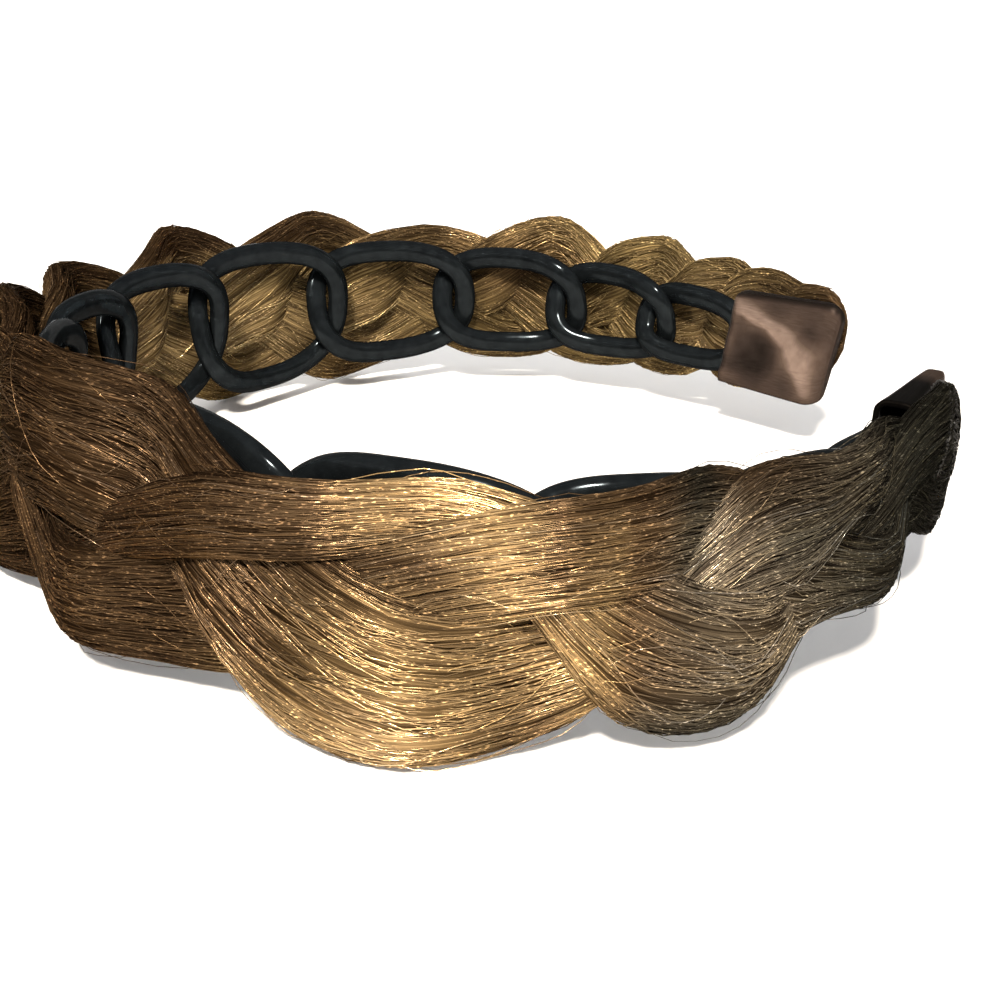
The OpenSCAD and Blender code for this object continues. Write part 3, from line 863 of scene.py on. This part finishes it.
class HEADBAND_OT_chain(bpy.types.Operator):
    """Makes the fourteen oval links of the chain"""

    bl_idname = "headband.chain"
    bl_label = "Chain links"

    def execute(self, context):
        settings = context.scene.headband
        plastic = moulded_gloss_plastic(settings.plastic_dark, settings.plastic_light)
        for arm in ARMS:
            for number in range(len(LINKS)):
                bm = ring_torus(settings.link_points, settings.bar_points)
                co = np.array([vert.co for vert in bm.verts])
                t = np.arctan2(co[:, 1], co[:, 0])
                q = np.arctan2(co[:, 2], np.hypot(co[:, 0], co[:, 1]) - 1)
                place_points(bm, (link_surface(arm, number, t, q, LINK_SWELL) + SHIFT) * MM)
                node = f"link_{arm}_{number + 1}"
                finish_piece(bm, "plastic_" + node, plastic, node)
        return {"FINISHED"}


class HEADBAND_OT_satin(bpy.types.Operator):
    """Makes the satin wrap on each end of the band"""

    bl_idname = "headband.satin"
    bl_label = "Satin wraps"

    def execute(self, context):
        settings = context.scene.headband
        wrinkle = settings.wrinkle / MM
        satin = woven_satin(settings.satin_lit_colour)
        for arm in ARMS:
            bm = straight_tube(SATIN_AROUND, SATIN_STEPS)
            station, q = tube_angles(bm)
            d = SATIN_LENGTH * (station / SATIN_STEPS) ** SATIN_CROWDING
            half_out, half_up = satin_half(d)
            out = half_out * squared(np.cos(q), SATIN_SQUARENESS)
            up = half_up * squared(np.sin(q), SATIN_SQUARENESS)
            broad = np.clip(1 - np.abs(up / half_up) ** 4, 0, 1) * np.clip(d / 2, 0, 1)
            rise = satin_relief(d, up, wrinkle) * broad
            out = out + np.sign(np.cos(q)) * (rise - 0.5 * wrinkle * broad)
            # The cloth is pulled askew: its upper corners lie nearer the tip
            pulled = d - (up / half_up + 1) / 2 * np.interp(d, (0, SATIN_LENGTH), SATIN_SKEW)
            at = pulled if arm == "near" else BAND_LENGTH - pulled
            place_points(bm, on_band(at, out, up))
            bmesh.ops.holes_fill(
                bm, edges=[edge for edge in bm.edges if edge.is_boundary
                           and all(station[vert.index] == 0 for vert in edge.verts)],
                sides=SATIN_AROUND)
            # Painted shade and painted highlight: hollows are painted darker than raised folds, and
            # painted shade darkens the near wrap's mouth under the hair and the far wrap's upper
            # edge
            fold = np.maximum(PAINTED_LIGHT_MIDDLE + PAINTED_LIGHT_SPAN * rise / wrinkle, PAINTED_LIGHT_LEAST)
            if arm == "near":
                fold = fold * (1 - smooth((d - MOUTH_PAINTED_SHADE["start"]) / MOUTH_PAINTED_SHADE["run"]))
            else:
                edge = smooth((up / half_up - EDGE_PAINTED_SHADE["start"]) / EDGE_PAINTED_SHADE["run"])
                fold = fold * (1 - EDGE_PAINTED_SHADE["depth"] * edge)
            # Perimeter and length of the cloth, in millimetres
            uv = np.c_[q / (2 * np.pi) * UV_TURN["cloth"], d]
            piece = finish_piece(bm, "satin_wrap_" + arm, satin, "satin_" + arm,
                                 "cloth", uv, fold=fold)
            wall = piece.modifiers.new("wall", "SOLIDIFY")
            wall.thickness = SATIN_WALL * MM
            wall.offset = -1
        return {"FINISHED"}


class HEADBAND_OT_locks(bpy.types.Operator):
    """Makes the three brushed locks of the braid"""

    bl_idname = "headband.locks"
    bl_label = "Hair locks"

    def execute(self, context):
        settings = context.scene.headband
        hair = brushed_hair()
        rng = np.random.default_rng(LOCK_SEED)
        steps, around = settings.lock_stations, settings.lock_points
        stations = np.linspace(-HAIR_OVERRUN, BAND_LENGTH + HAIR_OVERRUN, steps + 1)
        for lock in LOCKS:
            bm = straight_tube(around, steps)
            station, q = tube_angles(bm)
            at = stations[station]
            # Clumps run along the lock and drift slowly round it
            clump = np.zeros(len(q))
            for number in CLUMPS:
                drift = rng.uniform(-CLUMP_DRIFT, CLUMP_DRIFT) * at + rng.uniform(0, 2 * np.pi)
                swell = 1 + CLUMP_SWELL * np.sin(
                    at * rng.uniform(*CLUMP_SWELL_RATE) + rng.uniform(0, 6))
                clump += swell * np.sin(number * q + number * drift) / CLUMP_DIVISOR
            depth = settings.clump_depth / MM * np.clip(from_tip(at) / CLUMP_FADE, CLUMP_LEAST, 1)
            out, up = lock_surface(lock, at, q, clump * depth)
            place_points(bm, on_band(at, out, up))
            bmesh.ops.holes_fill(bm, edges=[e for e in bm.edges if e.is_boundary], sides=around)
            uv = np.c_[q / (2 * np.pi), at / FIBRE_UV_LENGTH]
            strand = np.c_[STRAND_RADIUS * np.cos(q), STRAND_RADIUS * np.sin(q), at]
            finish_piece(bm, "brushed_lock_" + lock, hair, "lock_" + lock, "fibre", uv,
                         strand)
        return {"FINISHED"}


class HEADBAND_OT_fibres(bpy.types.Operator):
    """Lays single hairs along each lock, in one piece for each half of the band"""

    bl_idname = "headband.fibres"
    bl_label = "Single hairs"

    def execute(self, context):
        settings = context.scene.headband
        thickness = settings.fibre_thickness / MM
        middle = BAND_LENGTH / 2
        halves = {"near": ((-LAID_OVERRUN, middle), settings.near_fibres),
                  "far": ((middle, BAND_LENGTH + LAID_OVERRUN), settings.far_fibres)}
        share = 1
        for index, lock in enumerate(LOCKS):
            for arm, (span, count) in halves.items():
                rng = np.random.default_rng((FIBRE_SEED, index, arm == "far"))
                paths = [fibre_paths(rng, lock, int(count * share), span, **LAID_HAIR)]
                fibre_piece(f"hair_fibres_{lock}_{arm}", paths, thickness,
                            fibre_shades(rng, paths, LAID_SHADE), rng)
        return {"FINISHED"}


class HEADBAND_OT_strays(bpy.types.Operator):
    """Lays the loose hairs that stand off the braid"""

    bl_idname = "headband.strays"
    bl_label = "Stray hairs"

    def execute(self, context):
        settings = context.scene.headband
        rng = np.random.default_rng(STRAY_SEED)
        count = settings.stray_fibres // len(LOCKS)
        paths = [fibre_paths(rng, lock, count, LOOSE_SPAN, **LOOSE_HAIR) for lock in LOCKS]
        fibre_piece("stray_hairs", paths, settings.fibre_thickness / MM * LOOSE_THICKNESS,
                    fibre_shades(rng, paths, LOOSE_SHADE), rng)
        return {"FINISHED"}


def area_light(name, power, colour, place, aim, size):
    """A soft round light that faces a point."""
    light = bpy.data.lights.new(name, "AREA")
    light.shape = "DISK"
    light.size = size
    light.energy = power
    light.color = colour[:3]
    holder = bpy.data.objects.new(name, light)
    holder.location = place
    holder.rotation_euler = (Vector(aim) - Vector(place)).to_track_quat("-Z", "Y").to_euler()
    bpy.context.scene.collection.objects.link(holder)


class HEADBAND_OT_stage(bpy.types.Operator):
    """Makes the floor, the lights, the surround and the camera"""

    bl_idname = "headband.stage"
    bl_label = "Stage"

    def execute(self, context):
        settings = context.scene.headband
        scene = context.scene
        bm = bmesh.new()
        rim = [bm.verts.new((radius, 0, height)) for radius, height in SWEEP_PROFILE]
        for first, second in zip(rim, rim[1:]):
            bm.edges.new((first, second))
        bmesh.ops.spin(bm, geom=bm.verts[:] + bm.edges[:], cent=(0, 0, 0), axis=(0, 0, 1),
                       dvec=(0, 0, 0), angle=2 * math.pi, steps=SWEEP_STEPS, use_merge=True,
                       use_duplicate=False)
        bmesh.ops.remove_doubles(bm, verts=bm.verts, dist=0.0001)
        bmesh.ops.recalc_face_normals(bm, faces=bm.faces)
        mesh = bpy.data.meshes.new("paper_sweep")
        bm.to_mesh(mesh)
        bm.free()
        mesh.polygons.foreach_set("use_smooth", np.ones(len(mesh.polygons), bool))
        paper, tree = new_material("matt_background_paper")
        shader = add(tree, "ShaderNodeBsdfPrincipled", {
            "Base Color": settings.paper_colour, "Roughness": 0.9, "Specular IOR Level": 0.1})
        add(tree, "ShaderNodeOutputMaterial", {"Surface": shader.outputs["BSDF"]})
        mesh.materials.append(paper)
        floor = bpy.data.objects.new("paper_sweep", mesh)
        scene.collection.objects.link(floor)

        world = bpy.data.worlds.new("surround")
        world.use_nodes = True
        backdrop = world.node_tree.nodes["Background"]
        backdrop.inputs["Color"].default_value = linear("#f3f6ff")
        backdrop.inputs["Strength"].default_value = settings.surround
        scene.world = world
        area_light("key_light", settings.key_power, settings.key_colour, **KEY_LIGHT)
        area_light("backdrop_light", settings.key_power * BACKDROP_SHARE, (1, 1, 1),
                   **BACKDROP_LIGHT)

        turn, dip, roll = CAMERA_TURN, CAMERA_DIP, CAMERA_ROLL
        ahead = Vector((math.sin(turn) * math.cos(dip), math.cos(turn) * math.cos(dip),
                        -math.sin(dip)))
        right = Vector((math.cos(turn), -math.sin(turn), 0))
        upward = right.cross(ahead)
        right, upward = (right * math.cos(roll) + upward * math.sin(roll),
                         upward * math.cos(roll) - right * math.sin(roll))
        lens = bpy.data.cameras.new("camera")
        lens.sensor_width = SENSOR_WIDTH
        lens.lens = CAMERA_FOCAL * SENSOR_WIDTH
        lens.clip_start = 0.01
        camera = bpy.data.objects.new("camera", lens)
        turned = Matrix((right, upward, -ahead)).transposed().to_4x4()
        camera.matrix_world = Matrix.Translation(
            (Vector(CAMERA_PLACE) + Vector(SHIFT)) * MM) @ turned
        scene.collection.objects.link(camera)
        scene.camera = camera
        scene.view_settings.view_transform = "Standard"
        return {"FINISHED"}


OPERATORS = (HEADBAND_OT_chain, HEADBAND_OT_satin, HEADBAND_OT_locks, HEADBAND_OT_fibres,
             HEADBAND_OT_strays, HEADBAND_OT_stage)


class HEADBAND_PT_pieces(bpy.types.Panel):
    """Lists the headband's pieces and their settings"""

    bl_label = "Braided headband"
    bl_space_type = "VIEW_3D"
    bl_region_type = "UI"
    bl_category = "Headband"

    def draw(self, context):
        for name in HeadbandSettings.__annotations__:
            self.layout.prop(context.scene.headband, name)
        for operator in OPERATORS:
            self.layout.operator(operator.bl_idname)


CLASSES = (HeadbandSettings, *OPERATORS, HEADBAND_PT_pieces)


def register():
    for cls in CLASSES:
        bpy.utils.register_class(cls)
    bpy.types.Scene.headband = bpy.props.PointerProperty(type=HeadbandSettings)


def unregister():
    del bpy.types.Scene.headband
    for cls in reversed(CLASSES):
        bpy.utils.unregister_class(cls)


def main():
    register()
    bpy.ops.headband.chain()
    bpy.ops.headband.satin()
    bpy.ops.headband.locks()
    bpy.ops.headband.fibres()
    bpy.ops.headband.strays()
    bpy.ops.headband.stage()


if __name__ == "__main__":
    main()
